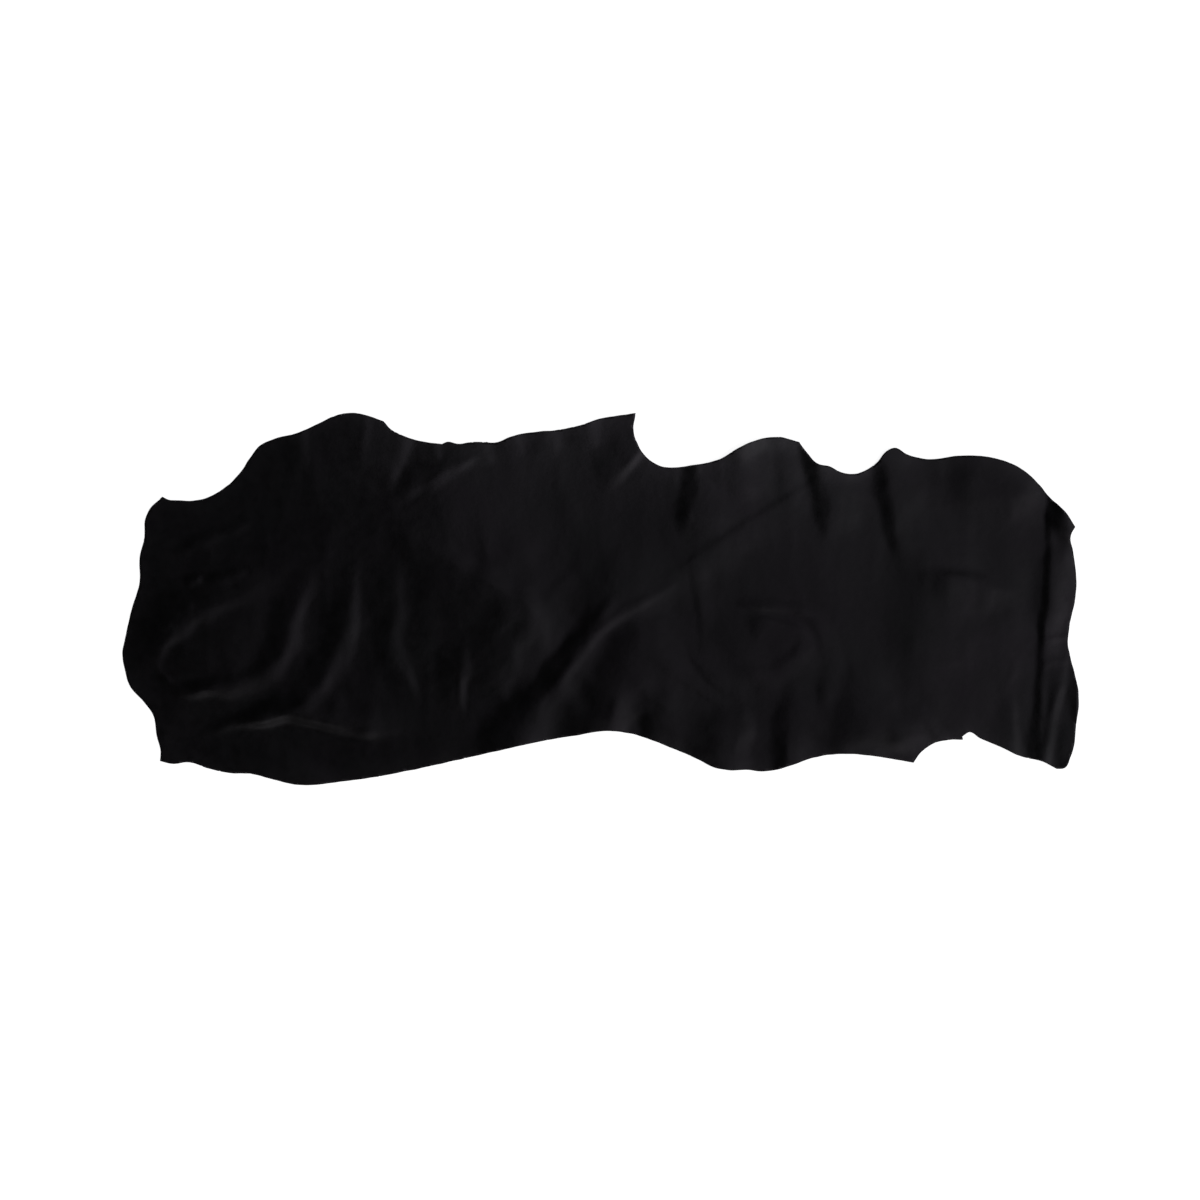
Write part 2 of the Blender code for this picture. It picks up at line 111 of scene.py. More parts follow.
# A fold's crest runs along its spine. left and right are the widths of its two flanks, seen by
# someone who walks along the spine, and height is the crest's. Each is one value, or several
# that are spaced evenly along the fold. A fold fades out at both ends, at one of them, or at
# neither where it runs off the sheet. sharp is 0 for a rounded crest and 1 for a creased one.
# Centimetres, but height in millimetres.
Fold = namedtuple("Fold", "left right height sharp fades spine")
MAIN_FOLDS = {
    "pillow brow": Fold(
        (8, 9, 9), (3.4, 3.6, 5), (5.5, 7.5, 6.5, 2.8, 1.1, 0.5), 0, "both",
        [(-107.5, -20), (-106, -13.5), (-102, -7.5), (-95, -2.5), (-88, 0.5), (-81, 4.5),
         (-69.5, 13)]),
    "pillow rise": Fold(
        (14, 12), (22, 20), (3, 2, 1), 0, "both",
        [(-108, -17), (-101, -9), (-93, -1), (-84, 5.5), (-78, 9)]),
    "first ripple": Fold(
        (2, 2.6, 6, 7), (3, 3.4, 3.8, 3.4), (5, 9, 9, 5, 5.8, 5.6, 3.8, 1.8), 0.1, "both",
        [(-107.5, -13.5), (-105, -18), (-100.5, -21.5), (-94.5, -21.5), (-88, -21), (-83, -19),
         (-78.5, -15.5), (-75.5, -10.5), (-74, -5), (-72, 0.5), (-70, 5), (-64.5, 11.5)]),
    "second ripple": Fold(
        (3, 3.4, 2.6), (8, 5.5, 4.6), (2, 4.4, 6, 6.4, 5.2, 3.2, 2, 1.2), 0.1, "both",
        [(-58, 13.5), (-59.5, 2), (-60.5, -5), (-62.5, -12), (-65, -16.5), (-68, -21), (-71, -24),
         (-75.5, -27), (-84, -28), (-94.5, -30.5)]),
    "third ripple": Fold(
        (3.8, 3.6, 2.4), (6, 5), (0.8, 1.8, 3.8, 4, 3.4), 0.1, "both",
        [(-48.5, 11.5), (-49.5, -0.5), (-50, -7.5), (-50, -13), (-47, -17.5), (-45, -21.5),
         (-43, -27)]),
    "fourth ripple": Fold(
        (2.6, 2.4), (8, 7), 3.4, 0.1, "both",
        [(-32.5, -10), (-33.5, -16), (-34, -22), (-33, -29)]),
    "fifth ripple": Fold(
        (3, 3.6), 12, 4, 0, "both",
        [(-15.5, -4), (-20.5, -11), (-23, -17), (-24.5, -27)]),
    "diagonal swell": Fold(
        (30, 24, 10), (36, 28, 16), (6, 10.5, 13, 9), 0, "both",
        [(-54.5, 33), (-49, 21), (-39, 11.5), (-26, 0.5), (-15, -12), (-6, -24.5)]),
    "shoulder": Fold(
        (4.4, 4.2, 4.5), (15, 11, 8), (4, 6, 8.4), 0, "both",
        [(-51, 17), (-40.5, 11), (-30.5, 5.5), (-22.5, 1), (-17, -2.5), (-15, -7.5),
         (-13, -15.5)]),
    "low crease": Fold(
        (4, 4, 6, 8, 8), (2.6, 2.4, 2.6), (0.5, 3, 9.5, 11, 11, 9, 3, 1, 0.4), 0.1, "both",
        [(-102, -33), (-94.5, -32), (-87.5, -30), (-80, -29), (-75, -28), (-69.5, -28.5),
         (-64.5, -29.5), (-58.5, -31), (-48, -31), (-33.5, -30.5)]),
    "low rim swell": Fold(
        (18, 17), (13, 12), (3, 4.6, 4.6), 0, "start",
        [(-76, -33.5), (-77.5, -37.5), (-79.5, -48.5)]),
    "deep fold": Fold(
        (5, 9, 8), (3.6, 4.8, 12.5), (10, 10.5, 13), 0.1, "start",
        [(4.5, 1.5), (0, -4.5), (-4.5, -10.5), (-9, -16.5), (-12.5, -22), (-16.5, -27),
         (-19.5, -31.5), (-21, -42.5)]),
    "fold lip": Fold(
        1.8, 2.2, (3, 3.4, 2.4, 1.4), 0.1, "both",
        [(21.5, 5.5), (12.5, 0.5), (6, -3.5), (0, -8), (-5, -13.5), (-9.5, -19), (-13.5, -24.5),
         (-17, -34.5)]),
    "long fold": Fold(
        (12, 9, 4), (24, 20, 7), (4.6, 5.6, 8.2), 0, "both",
        [(42, 24.5), (31.5, 17), (23, 11), (15, 4.5), (9.5, 0.5), (4, -3.5), (-1.5, -9)]),
    "long crease": Fold(
        7, 1.2, 1.7, 0.1, "both",
        [(57.5, 32.5), (48, 26), (41, 21.5), (33.5, 17), (24, 10.5), (13.5, 4)]),
    "fold follower": Fold(
        (1.8, 2), 2.2, 1.8, 0, "both",
        [(-2.5, -12), (-9, -20), (-12, -25), (-14, -29.5)]),
    "middle swell": Fold(
        (30, 24, 8, 4.6), (13, 13.5), (4, 12, 13, 11), 0, "start",
        [(18, -1.5), (12.5, -9.5), (7.5, -17), (3, -25), (1.5, -36.5)]),
    "middle lip": Fold(
        (10, 11), 3.4, 3.2, 0, "start",
        [(11.5, -21), (12, -27), (12.5, -36.5)]),
    "inner swell": Fold(
        (16, 14, 8), (14, 14, 10), (0.5, 4, 7, 5), 0, "both",
        [(7, 22.5), (3, 13), (1, 3.5), (-1.5, -5.5), (-4.5, -13)]),
    "tab fold": Fold(
        (2.4, 2.2), (9, 8), (4.6, 4.6, 3.6), 0.1, "end",
        [(14, 41.5), (10.5, 37), (7.5, 33.5), (4.5, 30.5), (0, 25)]),
    "tab edge": Fold(
        3, 7, 3, 0, "end",
        [(-2.5, 45), (-2.5, 41), (-2, 35.5)]),
    "notch fold": Fold(
        (15, 13), 4.2, (7.5, 7, 6), 0, "end",
        [(25, 38), (23.5, 30.5), (22.5, 23), (21.5, 17.5), (21, 13.5)]),
    "lobe swell": Fold(
        (12, 10), (10, 8), 6.2, 0, "end",
        [(34, 41.5), (34.5, 32), (34, 22.5)]),
    "left bay fold": Fold(
        10, (4.6, 4.2), (10, 8, 5), 0, "end",
        [(52, 38), (53, 31), (54.5, 25), (55, 20), (55, 13)]),
    "right bay fold": Fold(
        8, 4.6, (8.5, 7.5, 4.5), 0, "end",
        [(68, 40.5), (69, 30.5), (71, 22.5), (71.5, 16.5), (72, 7)]),
    "corner swell": Fold(
        6.4, (26, 24), (7, 7, 5), 0, "both",
        [(97.5, 43.5), (98.5, 34.5), (99.5, 26), (100.5, 17.5)]),
    "corner drop": Fold(
        (7.6, 7.4), (13, 12), (2, 5, 7, 7), 0, "both",
        [(83, 37), (98.5, 26), (108, 19)]),
    "end step": Fold(
        (14, 12, 6, 4, 5, 8, 12, 14), (1.2, 1.3, 1.5, 1.9, 2.5, 3),
        (1.2, 3.6, 4, 4.4, 5, 5.5, 7, 8), 0.2, "neither",
        [(108.5, 31), (108, 23.5), (108, 14), (107.5, 2), (106.5, -10), (106, -22), (105, -34),
         (105, -45)]),
    "end swell": Fold(
        5, 6, 5, 0, "both",
        [(111, 15), (109.5, 8), (108.5, 1), (107.5, -9.5)]),
    "far end curl": Fold(
        8, (4, 4, 5), (10, 15, 15, 12, 8), 0, "both",
        [(111, 38), (111, 28.5), (111.5, 22.5), (112.5, 16), (114.5, 8)]),
    "near end roll": Fold(
        (1.3, 1.5), (4.5, 2.4, 1.8), (3.8, 4.2, 4.2), 0.1, "start",
        [(113.5, -10), (111, -17), (109.5, -24.5), (107.5, -32), (106, -45)]),
    "near end curl": Fold(
        (6, 7), (10, 9, 7), 18, 0, "start",
        [(117.5, -10), (119, -23), (118, -34), (114, -48.5)]),
    "near bay, first": Fold(
        (12, 10), (5, 5.2), 8, 0, "end",
        [(31.5, -48.5), (31.5, -37.5), (33, -31), (34.5, -24.5)]),
    "near bay, second": Fold(
        (3.2, 6), 7, (8.5, 6.5, 3.4), 0, "end",
        [(45, -48.5), (45, -36.5), (46, -28.5), (48, -17.5)]),
    "near bay, third": Fold(
        (12, 8), (8, 11), (5, 4.6, 4.5), 0, "end",
        [(62, -45), (62, -33), (62.5, -24.5), (65, -13.5)]),
    "near bay, fourth": Fold(
        1.6, 2.6, 1.8, 0, "both",
        [(84, -36), (81, -32.5), (77.5, -29), (74.5, -25.5)]),
    "near drop": Fold(
        11, 6, (0, 1.5, 3.4, 4.6, 5), 0, "end",
        [(47, -27), (54, -29.5), (62, -31.5), (71, -32.5), (81.5, -37.5)]),
    "near lobe fall": Fold(
        (13, 12), 5, (0, 2, 6, 8.5, 8.5), 0, "end",
        [(47, -33.5), (54, -33), (61.5, -33), (69.5, -33), (80.5, -31)]),
    "near middle drop": Fold(
        10, 5, 5, 0, "both",
        [(6, -25.5), (13.5, -29), (21.5, -33), (32.5, -38.5)]),
    "far lobe rim": Fold(
        5, 6, 6, 0, "both",
        [(24, 34.5), (32.5, 38), (39.5, 40.5), (48, 40), (55.5, 34.5)]),
    "far bay rim": Fold(
        4, 4, 4, 0, "both",
        [(49.5, 35.5), (55.5, 33), (62.5, 32.5), (68.5, 35.5)]),
    "broad swell": Fold(
        15, 13, 7.5, 0, "both",
        [(80, 23.5), (80, -0.5), (78.5, -24.5)]),
    "round dome": Fold(
        12, 12, 3.4, 0, "both",
        [(21.5, -12), (39.5, -12), (57.5, -12.5)]),
}
FINE_FOLDS = {
    "first far streak": Fold(
        2, 6, 1.5, 0, "end",
        [(-72, 44), (-71.5, 37), (-71, 29.5)]),
    "second far streak": Fold(
        3, (12, 10), 1.8, 0, "both",
        [(-56, 49), (-57.5, 38), (-59, 25.5)]),
    "third far streak": Fold(
        (3.4, 3), (14, 12), 3.8, 0, "end",
        [(-46, 44), (-48, 37), (-50, 31), (-52, 25)]),
    "fourth far streak": Fold(
        (2.6, 2.4), (12, 10), 2.8, 0, "end",
        [(-40.5, 41.5), (-40, 37.5), (-39, 32.5)]),
    "fifth far streak": Fold(
        2.4, 8, 3, 0, "end",
        [(-28.5, 40.5), (-28, 36.5), (-27, 31.5)]),
    "far crease": Fold(
        (3, 2.6), (8, 7), (4, 5.5, 5, 4), 0.1, "both",
        [(-27, 35.5), (-34.5, 32.5), (-40.5, 29), (-51, 23)]),
    "far left crease": Fold(
        2.4, 2, 2.1, 0, "both",
        [(-103, 10), (-94.5, 14), (-89, 16), (-82.5, 19.5)]),
    "left pimple": Fold(
        2, 1.8, 3, 0, "both",
        [(-100, 4), (-98, 4.5), (-95, 5)]),
    "low pimple": Fold(
        1.6, 1.6, 1.6, 0, "both",
        [(-100, -2), (-99, -2), (-97, -1.5)]),
    "lower pimple": Fold(
        1.6, 1.6, 1.6, 0, "both",
        [(-105.5, -7), (-104, -6.5), (-102.5, -5.5)]),
    "pillow seam": Fold(
        2, 2, 2, 0, "both",
        [(-95, 4.5), (-90, 5), (-84, 7)]),
    "lobe streak": Fold(
        4, 4, 2, 0, "end",
        [(45, 40.5), (45.5, 31), (45, 21)]),
    "dome rim": Fold(
        4, 2.4, 2, 0, "both",
        [(45.5, -0.5), (51.5, -5.5), (55, -12.5), (55, -19.5), (51.5, -29.5)]),
    "dome inner rim": Fold(
        4, 2.2, 2, 0, "both",
        [(48, -5.5), (48.5, -11), (45.5, -15), (40.5, -17.5), (34, -17.5), (29.5, -16.5)]),
    "dome left rim": Fold(
        6, (1.6, 1.8), 1.9, 0, "both",
        [(20.5, -7.5), (22.5, -13.5), (27, -19.5), (32, -23), (38.5, -25.5)]),
    "dome line": Fold(
        4, 1.3, 0.8, 0, "both",
        [(21.5, 10.5), (23.5, 2), (24.5, -6.5), (24.5, -15)]),
    "dome top line": Fold(
        1.4, 6, 3.4, 0, "both",
        [(34, -4), (41, -5.5), (47, -7), (52, -9)]),
    "dome upper line": Fold(
        3, 1.3, 3.2, 0, "both",
        [(31.5, -1), (39, -2), (45.5, -2.5), (54.5, -5)]),
    "end crease": Fold(
        2.4, 9, (5, 8, 8, 5), 0, "both",
        [(75, 6.5), (79.5, 6), (85.5, 5), (91.5, 3.5), (100.5, 0.5)]),
    "end seam": Fold(
        (9, 7, 3), (10, 7, 2.2), (2.2, 3.2, 1.4, 0.9), 0, "both",
        [(97, 22.5), (97.5, -0.5), (97.5, -15), (97, -31.5)]),
    "far edge streak": Fold(
        2.4, 7, 1.6, 0, "end",
        [(-21, 44), (-20.5, 38), (-19, 33)]),
    "far edge seam": Fold(
        2.4, 7, 1.4, 0, "end",
        [(-13, 45), (-12, 39), (-10.5, 33)]),
    "upper end wrinkle": Fold(
        1.4, 1.2, 1.6, 0, "both",
        [(106.5, -10), (109.5, -9.5), (113.5, -9)]),
    "lower end wrinkle": Fold(
        1.3, 1.2, 1.5, 0, "both",
        [(105, -16.5), (108.5, -15), (113, -14.5)]),
    "end pucker": Fold(
        1.6, 1.4, 0.7, 0, "both",
        [(97, -21), (99, -17.5), (100, -13.5)]),
    "near end streak": Fold(
        1.5, 5, 2.4, 0, "start",
        [(99, -22), (99, -30.5), (99.5, -41)]),
}
FADE_SHARE = 0.32          # share of a fold's length over which it fades out
FADED_WIDTH = 0.55         # how wide a fold still is where it has faded out
FLANK_TOE = 1.2            # how far a flank's soft toe runs, as a share of its width
SPINE_STEP = 0.012         # between points along a fold's crest
CREST_SWAY = 0.0030        # how far a crest strays from its line
CREST_WAVE = 0.075         # between two swings of a crest
FINER_WAVE = 3.1           # how many of its finer swings fit into one of them
FINER_SHARE = 0.45         # how big the finer swings are against the others
CREST_UNEVENNESS = 0.55    # how much its height goes up and down
WIDTH_UNEVENNESS = 0.45    # how much its flanks widen and narrow
NARROW_FLANK = 0.03        # a wider flank than this is evener, in proportion

# Loose rises all over the sheet: how wide along x and y they are and how high, in metres.
Rise = namedtuple("Rise", "width height seed")
RISE_SPREAD = 0.3          # more of this leaves less of the sheet flat
RISES = (
    Rise((0.32, 0.30), 0.0060, (3.1, 7.4, 0.5)),
    Rise((0.09, 0.13), 0.0017, (12.7, 1.9, 4.2)),
    Rise((0.035, 0.09), 0.0006, (5.3, 20.6, 8.8)),
)
EDGE_WANDER = Rise((0.022, 0.022), 0.0009, (1.7, 2.3, 9.1))
STRAYS = (Rise((0.05, 0.05), 1, (8.8, 3.3, 1.6)), Rise((0.06, 0.06), 1, (2.9, 15.2, 7.7)))

# Painted light: along the hide's middle the grain's gloss grows from the near side to the far
# side, a painted brightening for the light that falls brighter there. Each stop is (share
# across from the near side, gloss).
PAINTED_SHEEN_STOPS = ((0.0, 0.25), (0.5, 0.30), (0.76, 0.37), (1.0, 0.53))
HALF_ACROSS = 0.38         # from the middle to where the painted sheen is brightest or dimmest
PAINTED_SHEEN_REACH = (0.45, 0.85)  # from the middle, where this change begins to fade and where it ends
PAINTED_SHEEN_DRIFT = Rise((0.3, 0.3), 0.12, (4.4, 9.7, 1.2))
RIM_WIDTH = 0.05           # how far in from the outline the gloss is painted brighter
PAINTED_RIM_SHEEN = 1.27           # painted rim sheen, against the gloss further in
RIM_WANDER = Rise((0.08, 0.08), 0.5, (6.1, 0.4, 3.9))


def tangent(before, here, after):
    """The direction of a smooth curve at a point between two others."""
    back = here - before
    ahead = after - here
    return (back.normalized() * ahead.length + ahead.normalized() * back.length).normalized()


def smooth_run(points, step):
    """Points about a step apart on the smooth curve through the given ones, ends included."""
    knots = [Vector((x * CENTIMETRE, y * CENTIMETRE, 0)) for x, y in points]
    headings = [tangent(*knots[i - 1:i + 2]) for i in range(1, len(knots) - 1)]
    headings.insert(0, (knots[1] - knots[0]).normalized())
    headings.append((knots[-1] - knots[-2]).normalized())
    run = [knots[0]]
    for i in range(len(knots) - 1):
        length = (knots[i + 1] - knots[i]).length
        handle = CUBIC_HANDLE * length
        count = max(1, round(length / step))
        piece = interpolate_bezier(
            knots[i], knots[i] + handle * headings[i],
            knots[i + 1] - handle * headings[i + 1], knots[i + 1], count + 1)
        run.extend(piece[1:])
    return np.array([point[:2] for point in run])


def rough_noise(points, rise):
    """Smooth noise between about -1 and 1 at each point of the plan."""
    seed = Vector(rise.seed)
    places = points / np.array(rise.width)
    return np.array([noise.noise(Vector((*place, 0)) + seed) for place in places])


def wandering(points):
    """The outline with the small wander that a knife leaves."""
    ahead = np.roll(points, -1, axis=0) - np.roll(points, 1, axis=0)
    outward = np.column_stack([-ahead[:, 1], ahead[:, 0]])
    outward /= np.linalg.norm(outward, axis=1)[:, None]
    sway = rough_noise(points, EDGE_WANDER)
    return points + outward * sway[:, None] * EDGE_WANDER.height


def outline_points(step):
    """The closed outline in metres, around the middle of its own box."""
    outline = np.concatenate([smooth_run(points, step)[:-1] for points in OUTLINE.values()])
    middle = (outline.min(axis=0) + outline.max(axis=0)) / 2
    return wandering(outline - middle)


def painted_rim_share(points, outline):
    """How near the outline each point lies, for the painted rim sheen: 1 on it, 0 from about a
    rim's width in.
    """
    tree = kdtree.KDTree(len(outline))
    for number, place in enumerate(outline):
        tree.insert((*place, 0), number)
    tree.balance()
    away = np.array([tree.find((*point, 0))[2] for point in points])
    width = RIM_WIDTH * (1 + RIM_WANDER.height * rough_noise(points, RIM_WANDER))
    return 1 - smooth_step(away / width)


def painted_sheen_share(points):
    """The painted sheen's share at each point: 0 towards the near side, 1 towards the far side."""
    start, end = PAINTED_SHEEN_REACH
    reach = 1 - smooth_step((np.abs(points[:, 0]) - start) / (end - start))
    drift = PAINTED_SHEEN_DRIFT.height * rough_noise(points, PAINTED_SHEEN_DRIFT)
    return np.clip(0.5 + points[:, 1] / (2 * HALF_ACROSS) * reach + drift, 0, 1)


def nearest_on_line(points, line):
    """For each point, its distance to a line, its side of it and how far along it lies."""
    start = line[:-1]
    piece = line[1:] - start
    length = np.linalg.norm(piece, axis=1)
    offset = points[:, None, :] - start[None, :, :]
    share = np.clip((offset * piece).sum(axis=2) / length ** 2, 0, 1)
    away = np.linalg.norm(offset - share[:, :, None] * piece, axis=2)
    best = away.argmin(axis=1)
    rows = np.arange(len(points))
    cross = piece[best, 0] * offset[rows, best, 1] - piece[best, 1] * offset[rows, best, 0]
    walked = np.concatenate([[0], np.cumsum(length)])
    along = (walked[best] + share[rows, best] * length[best]) / walked[-1]
    return away[rows, best], cross > 0, along


def smooth_step(share):
    """A share that starts and ends gently, between 0 and 1."""
    share = np.clip(share, 0, 1)
    return share * share * (3 - 2 * share)


def crest_noise(count, seed):
    """Noise along a crest, at each point of its line."""
    along = np.arange(count) * SPINE_STEP / CREST_WAVE
    broad = [noise.noise(Vector((place, seed, 0.5))) for place in along]
    fine = [noise.noise(Vector((FINER_WAVE * place, seed, 9.5))) for place in along]
    return np.array(broad) + FINER_SHARE * np.array(fine)


def spread(values, along):
    """One value, or several that are spaced evenly along a fold, at each share of its length."""
    values = np.atleast_1d(values)
    return np.interp(along, np.linspace(0, 1, len(values)), values)


def fold_height(points, fold, seed, stray):
    """How high a fold lifts the sheet at each point, made uneven by the two noises of stray."""
    spine = smooth_run(fold.spine, SPINE_STEP)
    count = len(spine)
    spine[:, 0] += CREST_SWAY * crest_noise(count, seed + 0.3)
    spine[:, 1] += CREST_SWAY * crest_noise(count, seed + 31.7)
    reach = FLANK_TOE * max(np.max(fold.left), np.max(fold.right)) * CENTIMETRE
    near = ((points > spine.min(axis=0) - reach) & (points < spine.max(axis=0) + reach)).all(axis=1)
    distance, on_left, along = nearest_on_line(points[near], spine)
    fade = np.ones(len(along))
    if fold.fades in ("both", "start"):
        fade = fade * smooth_step(along / FADE_SHARE)
    if fold.fades in ("both", "end"):
        fade = fade * smooth_step((1 - along) / FADE_SHARE)
    width = np.where(on_left, spread(fold.left, along), spread(fold.right, along)) * CENTIMETRE
    width = width * (FADED_WIDTH + (1 - FADED_WIDTH) * fade)
    unevenness = np.minimum(1, NARROW_FLANK / width)
    stretch = 1 + WIDTH_UNEVENNESS * unevenness * stray[near, 0]
    fall = np.clip(distance / (FLANK_TOE * width) * stretch, 0, 1)
    flank = (1 - fold.sharp) * (1 - fall ** 2) ** 3 + fold.sharp * (1 - fall) ** 2
    crest = spread(fold.height, along) * (1 + CREST_UNEVENNESS * unevenness * stray[near, 1])
    height = np.zeros(len(points))
    height[near] = flank * fade * crest
    return height * MILLIMETRE


def loose_rise(points, rise):
    """A gentle, uneven rise that leaves part of the sheet where it was."""
    return rise.height * np.maximum(rough_noise(points, rise) + RISE_SPREAD, 0) ** 2


def lift(points):
    """The height of the sheet's underside above the floor."""
    height = sum(loose_rise(points, rise) for rise in RISES)
    stray = np.column_stack([rough_noise(points, wander) for wander in STRAYS])
    for number, fold in enumerate([*MAIN_FOLDS.values(), *FINE_FOLDS.values()]):
        height = height + fold_height(points, fold, number, stray)
    return height


# ---------------------------------------------------------------------------------------------
# Settings
# ---------------------------------------------------------------------------------------------

class HideSettings(bpy.types.PropertyGroup):
    """The sizes and colours of the hide."""
    thickness: FloatProperty(
        name="Thickness", description="Thickness of the leather", default=0.002, min=0.0008,
        max=0.004, unit="LENGTH", precision=4)
    cell: FloatProperty(
        name="Cell", description="Size of one cell of the sheet's mesh", default=0.0062, min=0.004,
        max=0.05, unit="LENGTH", precision=4)
    grain_colour: FloatVectorProperty(
        name="Grain colour", description="Colour of the dyed grain side", subtype="COLOR", size=3,
        default=(0.0006, 0.0006, 0.0005), min=0, max=1)
    flesh_colour: FloatVectorProperty(
        name="Flesh colour", description="Colour of the suede side underneath", subtype="COLOR",
        size=3, default=(0.011, 0.0105, 0.011), min=0, max=1)
    edge_colour: FloatVectorProperty(
        name="Edge colour", description="Colour of the cut edge", subtype="COLOR", size=3,
        default=(0.009, 0.008, 0.008), min=0, max=1)
    roughness: FloatProperty(
        name="Roughness", description="Roughness of the grain side", default=0.41, min=0, max=1,
        subtype="FACTOR")
    grain_size: FloatProperty(
        name="Grain size", description="Width of one pebble of the grain", default=0.0016,
        min=0.0005, max=0.01, unit="LENGTH", precision=4)


class StageSettings(bpy.types.PropertyGroup):
    """The floor, the lights and the camera."""
    floor_colour: FloatVectorProperty(
        name="Floor colour", description="Colour of the studio floor", subtype="COLOR", size=3,
        default=(0.92, 0.92, 0.92), min=0, max=1)
    key_strength: FloatProperty(
        name="Key strength", description="Strength of the broad light from the right",
        default=0.605, min=0, max=50)
    key_height: FloatProperty(
        name="Key height", description="How high the broad light stands over the floor",
        default=math.radians(50), subtype="ANGLE", unit="ROTATION")
    side_strength: FloatProperty(
        name="Side strength", description="Strength of the lower light from the right",
        default=0.26, min=0, max=50)
    side_height: FloatProperty(
        name="Side height", description="How high the lower light stands over the floor",
        default=math.radians(42), subtype="ANGLE", unit="ROTATION")
    front_strength: FloatProperty(
        name="Front strength", description="Strength of the fill light from the near side",
        default=0.32, min=0, max=50)
    front_height: FloatProperty(
        name="Front height", description="How high the fill light stands over the floor",
        default=math.radians(38), subtype="ANGLE", unit="ROTATION")
    camera_height: FloatProperty(
        name="Camera height", description="Height of the camera over the floor", default=4.0,
        min=1, max=20, unit="LENGTH")


# ---------------------------------------------------------------------------------------------
# Materials
# ---------------------------------------------------------------------------------------------

# Patches are given by how many fit into a metre, roughly, and depths in metres.
GRAIN_TONES = (0.72, 1.35)  # its darkest and lightest patches, against the grain's colour
TONE_PATCHES = 9.0
GRAIN_TINTS = ((0.93, 0.92, 0.96, 1), (0.98, 0.88, 1, 1))  # of its gloss
TINT_PATCHES = 3.2
GRAIN_SHEEN = 0.06         # how far its roughness wanders up and down
SHEEN_PATCHES = 45.0
PEBBLE_SOFTNESS = 0.4
PEBBLE_DEPTH = 0.0002
WRINKLE_PATCHES = 65.0
WRINKLE_DEPTH = 0.0008
FIBRE_TONES = (0.6, 1.5)   # the same for the flesh side and the cut edge
FIBRE_PATCHES = 900.0
FIBRE_ROUGHNESS = 0.92
FIBRE_GLOSS = 0.2
FIBRE_SHEEN = 0.15
FLESH_PATCHES = 60.0
FLESH_DEPTH = 0.0006
EDGE_PATCHES = 200.0
EDGE_DEPTH = 0.0003
PAPER_ROUGHNESS = 0.95
PAPER_GLOSS = 0.1
FLOOR_GLOW = 0.85
WHITE = (1.0, 1.0, 1.0)


def joined(tree, *links):
    """Links sockets, each given as (from, to)."""
    for source, target in links:
        tree.links.new(source, target)


def new_node(tree, kind, **values):
    """A node whose inputs and settings are given by name."""
    node = tree.nodes.new(kind)
    for name, value in values.items():
        label = name.replace("_", " ").title()
        if label in node.inputs:
            node.inputs[label].default_value = value
        else:
            setattr(node, name, value)
    return node


def shades(colour, tones):
    """A darker and a lighter shade of a colour."""
    return [(*(tone * part for part in colour), 1) for tone in tones]


def blend(tree, first, second):
    """A node that mixes two colours by its factor."""
    node = new_node(tree, "ShaderNodeMix", data_type="RGBA")
    node.inputs["A"].default_value = first
    node.inputs["B"].default_value = second
    return node


def grey_ramp(tree, stops):
    """A ramp of greys. Each stop is (position, value)."""
    node = tree.nodes.new("ShaderNodeValToRGB")
    points = node.color_ramp.elements
    while len(points) < len(stops):
        points.new(1)
    for point, (position, value) in zip(points, stops):
        point.position = position
        point.color = (value, value, value, 1)
    return node


def mottle_group():
    """A node group: soft uneven patches, for tone and roughness that wander over a skin."""
    group = bpy.data.node_groups.new("skin mottle", "ShaderNodeTree")
    face = group.interface
    face.new_socket("Vector", in_out="INPUT", socket_type="NodeSocketVector")
    face.new_socket("Scale", in_out="INPUT", socket_type="NodeSocketFloat")
    face.new_socket("Low", in_out="INPUT", socket_type="NodeSocketFloat")
    face.new_socket("High", in_out="INPUT", socket_type="NodeSocketFloat")
    face.new_socket("Value", in_out="OUTPUT", socket_type="NodeSocketFloat")
    inlet = group.nodes.new("NodeGroupInput")
    outlet = group.nodes.new("NodeGroupOutput")
    cloud = new_node(group, "ShaderNodeTexNoise", detail=5.0, roughness=0.6)
    span = new_node(group, "ShaderNodeMapRange", from_min=0.3, from_max=0.7)
    joined(
        group, (inlet.outputs["Vector"], cloud.inputs["Vector"]),
        (inlet.outputs["Scale"], cloud.inputs["Scale"]),
        (cloud.outputs["Fac"], span.inputs["Value"]),
        (inlet.outputs["Low"], span.inputs["To Min"]),
        (inlet.outputs["High"], span.inputs["To Max"]),
        (span.outputs["Result"], outlet.inputs["Value"]))
    return group


def placed_group(tree, group, coordinates, **values):
    """A node group placed in a material, with its own values."""
    node = tree.nodes.new("ShaderNodeGroup")
    node.node_tree = group
    for name, value in values.items():
        node.inputs[name.title()].default_value = value
    tree.links.new(coordinates, node.inputs["Vector"])
    return node


def new_material(name):
    """A material with its tree, its shader and its object coordinates."""
    material = bpy.data.materials.new(name)
    material.use_nodes = True
    tree = material.node_tree
    shader = tree.nodes["Principled BSDF"]
    coordinates = tree.nodes.new("ShaderNodeTexCoord").outputs["Object"]
    return material, tree, shader, coordinates


